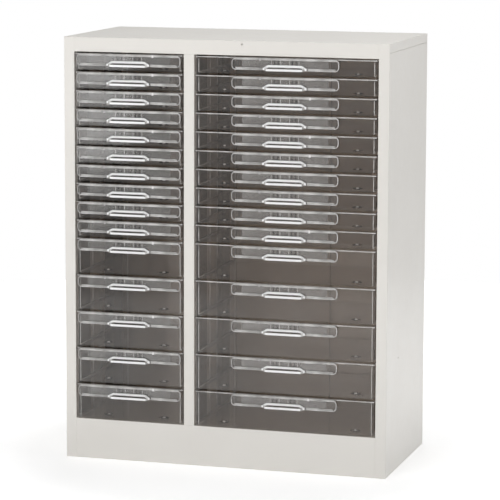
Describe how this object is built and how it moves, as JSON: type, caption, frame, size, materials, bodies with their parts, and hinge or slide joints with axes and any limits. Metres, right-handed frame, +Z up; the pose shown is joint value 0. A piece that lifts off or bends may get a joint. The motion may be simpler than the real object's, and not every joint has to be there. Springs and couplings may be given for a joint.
{
  "type": "multi-drawer paper cabinet",
  "caption": "Upright steel office cabinet with a narrow and a wide column of clear pull-out paper trays, shallow above deep, each with a label holder and a hooded pull, on a closed plinth.",
  "frame": {"origin": "middle of the cabinet's footprint, on the floor", "axes": "+Z up; the drawers open towards -Y; +X is the wide column's side, to the right as seen from the front"},
  "size_m": [0.686, 0.3486, 0.88],
  "materials": {
    "cream_enamel": "semi-gloss baked enamel with a faint orange peel",
    "runner_steel": "satin dark coated steel",
    "clear_tray": "polished smoke-clear polystyrene",
    "foot_plastic": "matt moulded black"
  },
  "bodies": {
    "cabinet": {"top_panel": "cream_enamel", "left_side_panel": "cream_enamel", "right_side_panel": "cream_enamel", "back_panel": "cream_enamel", "left_stile": "cream_enamel", "right_stile": "cream_enamel", "mullion": "cream_enamel", "top_rail": "cream_enamel", "bottom_rail": "cream_enamel", "base_panel": "cream_enamel", "centre_partition": "cream_enamel", "rear_plinth_rail": "cream_enamel", "narrow_back_stiffener": "cream_enamel", "wide_back_stiffener": "cream_enamel", "narrow_left_front_post": "runner_steel", "narrow_left_rear_post": "runner_steel", "narrow_right_front_post": "runner_steel", "narrow_right_rear_post": "runner_steel", "wide_left_front_post": "runner_steel", "wide_left_rear_post": "runner_steel", "wide_right_front_post": "runner_steel", "wide_right_rear_post": "runner_steel", "narrow_left_runners": "runner_steel", "narrow_right_runners": "runner_steel", "wide_left_runners": "runner_steel", "wide_right_runners": "runner_steel", "corner_gussets": "runner_steel", "levelling_feet": "foot_plastic"},
    "narrow_drawer_01": {"narrow_drawer_01": "clear_tray"},
    "narrow_drawer_02": {"narrow_drawer_02": "clear_tray"},
    "narrow_drawer_03": {"narrow_drawer_03": "clear_tray"},
    "narrow_drawer_04": {"narrow_drawer_04": "clear_tray"},
    "narrow_drawer_05": {"narrow_drawer_05": "clear_tray"},
    "narrow_drawer_06": {"narrow_drawer_06": "clear_tray"},
    "narrow_drawer_07": {"narrow_drawer_07": "clear_tray"},
    "narrow_drawer_08": {"narrow_drawer_08": "clear_tray"},
    "narrow_drawer_09": {"narrow_drawer_09": "clear_tray"},
    "narrow_drawer_10": {"narrow_drawer_10": "clear_tray"},
    "narrow_drawer_11": {"narrow_drawer_11": "clear_tray"},
    "narrow_drawer_12": {"narrow_drawer_12": "clear_tray"},
    "narrow_drawer_13": {"narrow_drawer_13": "clear_tray"},
    "narrow_drawer_14": {"narrow_drawer_14": "clear_tray"},
    "narrow_drawer_15": {"narrow_drawer_15": "clear_tray"},
    "wide_drawer_01": {"wide_drawer_01": "clear_tray"},
    "wide_drawer_02": {"wide_drawer_02": "clear_tray"},
    "wide_drawer_03": {"wide_drawer_03": "clear_tray"},
    "wide_drawer_04": {"wide_drawer_04": "clear_tray"},
    "wide_drawer_05": {"wide_drawer_05": "clear_tray"},
    "wide_drawer_06": {"wide_drawer_06": "clear_tray"},
    "wide_drawer_07": {"wide_drawer_07": "clear_tray"},
    "wide_drawer_08": {"wide_drawer_08": "clear_tray"},
    "wide_drawer_09": {"wide_drawer_09": "clear_tray"},
    "wide_drawer_10": {"wide_drawer_10": "clear_tray"},
    "wide_drawer_11": {"wide_drawer_11": "clear_tray"},
    "wide_drawer_12": {"wide_drawer_12": "clear_tray"},
    "wide_drawer_13": {"wide_drawer_13": "clear_tray"},
    "wide_drawer_14": {"wide_drawer_14": "clear_tray"},
    "wide_drawer_15": {"wide_drawer_15": "clear_tray"}
  },
  "joints": [
    {"name": "narrow_drawer_01_slide", "type": "slide", "parent": "cabinet", "child": "narrow_drawer_01", "axis": [0, -1, 0], "range_m": [0, 0.215]},
    {"name": "narrow_drawer_02_slide", "type": "slide", "parent": "cabinet", "child": "narrow_drawer_02", "axis": [0, -1, 0], "range_m": [0, 0.215]},
    {"name": "narrow_drawer_03_slide", "type": "slide", "parent": "cabinet", "child": "narrow_drawer_03", "axis": [0, -1, 0], "range_m": [0, 0.215]},
    {"name": "narrow_drawer_04_slide", "type": "slide", "parent": "cabinet", "child": "narrow_drawer_04", "axis": [0, -1, 0], "range_m": [0, 0.215]},
    {"name": "narrow_drawer_05_slide", "type": "slide", "parent": "cabinet", "child": "narrow_drawer_05", "axis": [0, -1, 0], "range_m": [0, 0.215]},
    {"name": "narrow_drawer_06_slide", "type": "slide", "parent": "cabinet", "child": "narrow_drawer_06", "axis": [0, -1, 0], "range_m": [0, 0.215]},
    {"name": "narrow_drawer_07_slide", "type": "slide", "parent": "cabinet", "child": "narrow_drawer_07", "axis": [0, -1, 0], "range_m": [0, 0.215]},
    {"name": "narrow_drawer_08_slide", "type": "slide", "parent": "cabinet", "child": "narrow_drawer_08", "axis": [0, -1, 0], "range_m": [0, 0.215]},
    {"name": "narrow_drawer_09_slide", "type": "slide", "parent": "cabinet", "child": "narrow_drawer_09", "axis": [0, -1, 0], "range_m": [0, 0.215]},
    {"name": "narrow_drawer_10_slide", "type": "slide", "parent": "cabinet", "child": "narrow_drawer_10", "axis": [0, -1, 0], "range_m": [0, 0.215]},
    {"name": "narrow_drawer_11_slide", "type": "slide", "parent": "cabinet", "child": "narrow_drawer_11", "axis": [0, -1, 0], "range_m": [0, 0.215]},
    {"name": "narrow_drawer_12_slide", "type": "slide", "parent": "cabinet", "child": "narrow_drawer_12", "axis": [0, -1, 0], "range_m": [0, 0.215]},
    {"name": "narrow_drawer_13_slide", "type": "slide", "parent": "cabinet", "child": "narrow_drawer_13", "axis": [0, -1, 0], "range_m": [0, 0.215]},
    {"name": "narrow_drawer_14_slide", "type": "slide", "parent": "cabinet", "child": "narrow_drawer_14", "axis": [0, -1, 0], "range_m": [0, 0.215]},
    {"name": "narrow_drawer_15_slide", "type": "slide", "parent": "cabinet", "child": "narrow_drawer_15", "axis": [0, -1, 0], "range_m": [0, 0.215]},
    {"name": "wide_drawer_01_slide", "type": "slide", "parent": "cabinet", "child": "wide_drawer_01", "axis": [0, -1, 0], "range_m": [0, 0.175]},
    {"name": "wide_drawer_02_slide", "type": "slide", "parent": "cabinet", "child": "wide_drawer_02", "axis": [0, -1, 0], "range_m": [0, 0.175]},
    {"name": "wide_drawer_03_slide", "type": "slide", "parent": "cabinet", "child": "wide_drawer_03", "axis": [0, -1, 0], "range_m": [0, 0.175]},
    {"name": "wide_drawer_04_slide", "type": "slide", "parent": "cabinet", "child": "wide_drawer_04", "axis": [0, -1, 0], "range_m": [0, 0.175]},
    {"name": "wide_drawer_05_slide", "type": "slide", "parent": "cabinet", "child": "wide_drawer_05", "axis": [0, -1, 0], "range_m": [0, 0.175]},
    {"name": "wide_drawer_06_slide", "type": "slide", "parent": "cabinet", "child": "wide_drawer_06", "axis": [0, -1, 0], "range_m": [0, 0.175]},
    {"name": "wide_drawer_07_slide", "type": "slide", "parent": "cabinet", "child": "wide_drawer_07", "axis": [0, -1, 0], "range_m": [0, 0.175]},
    {"name": "wide_drawer_08_slide", "type": "slide", "parent": "cabinet", "child": "wide_drawer_08", "axis": [0, -1, 0], "range_m": [0, 0.175]},
    {"name": "wide_drawer_09_slide", "type": "slide", "parent": "cabinet", "child": "wide_drawer_09", "axis": [0, -1, 0], "range_m": [0, 0.175]},
    {"name": "wide_drawer_10_slide", "type": "slide", "parent": "cabinet", "child": "wide_drawer_10", "axis": [0, -1, 0], "range_m": [0, 0.175]},
    {"name": "wide_drawer_11_slide", "type": "slide", "parent": "cabinet", "child": "wide_drawer_11", "axis": [0, -1, 0], "range_m": [0, 0.175]},
    {"name": "wide_drawer_12_slide", "type": "slide", "parent": "cabinet", "child": "wide_drawer_12", "axis": [0, -1, 0], "range_m": [0, 0.175]},
    {"name": "wide_drawer_13_slide", "type": "slide", "parent": "cabinet", "child": "wide_drawer_13", "axis": [0, -1, 0], "range_m": [0, 0.175]},
    {"name": "wide_drawer_14_slide", "type": "slide", "parent": "cabinet", "child": "wide_drawer_14", "axis": [0, -1, 0], "range_m": [0, 0.175]},
    {"name": "wide_drawer_15_slide", "type": "slide", "parent": "cabinet", "child": "wide_drawer_15", "axis": [0, -1, 0], "range_m": [0, 0.175]}
  ]
}
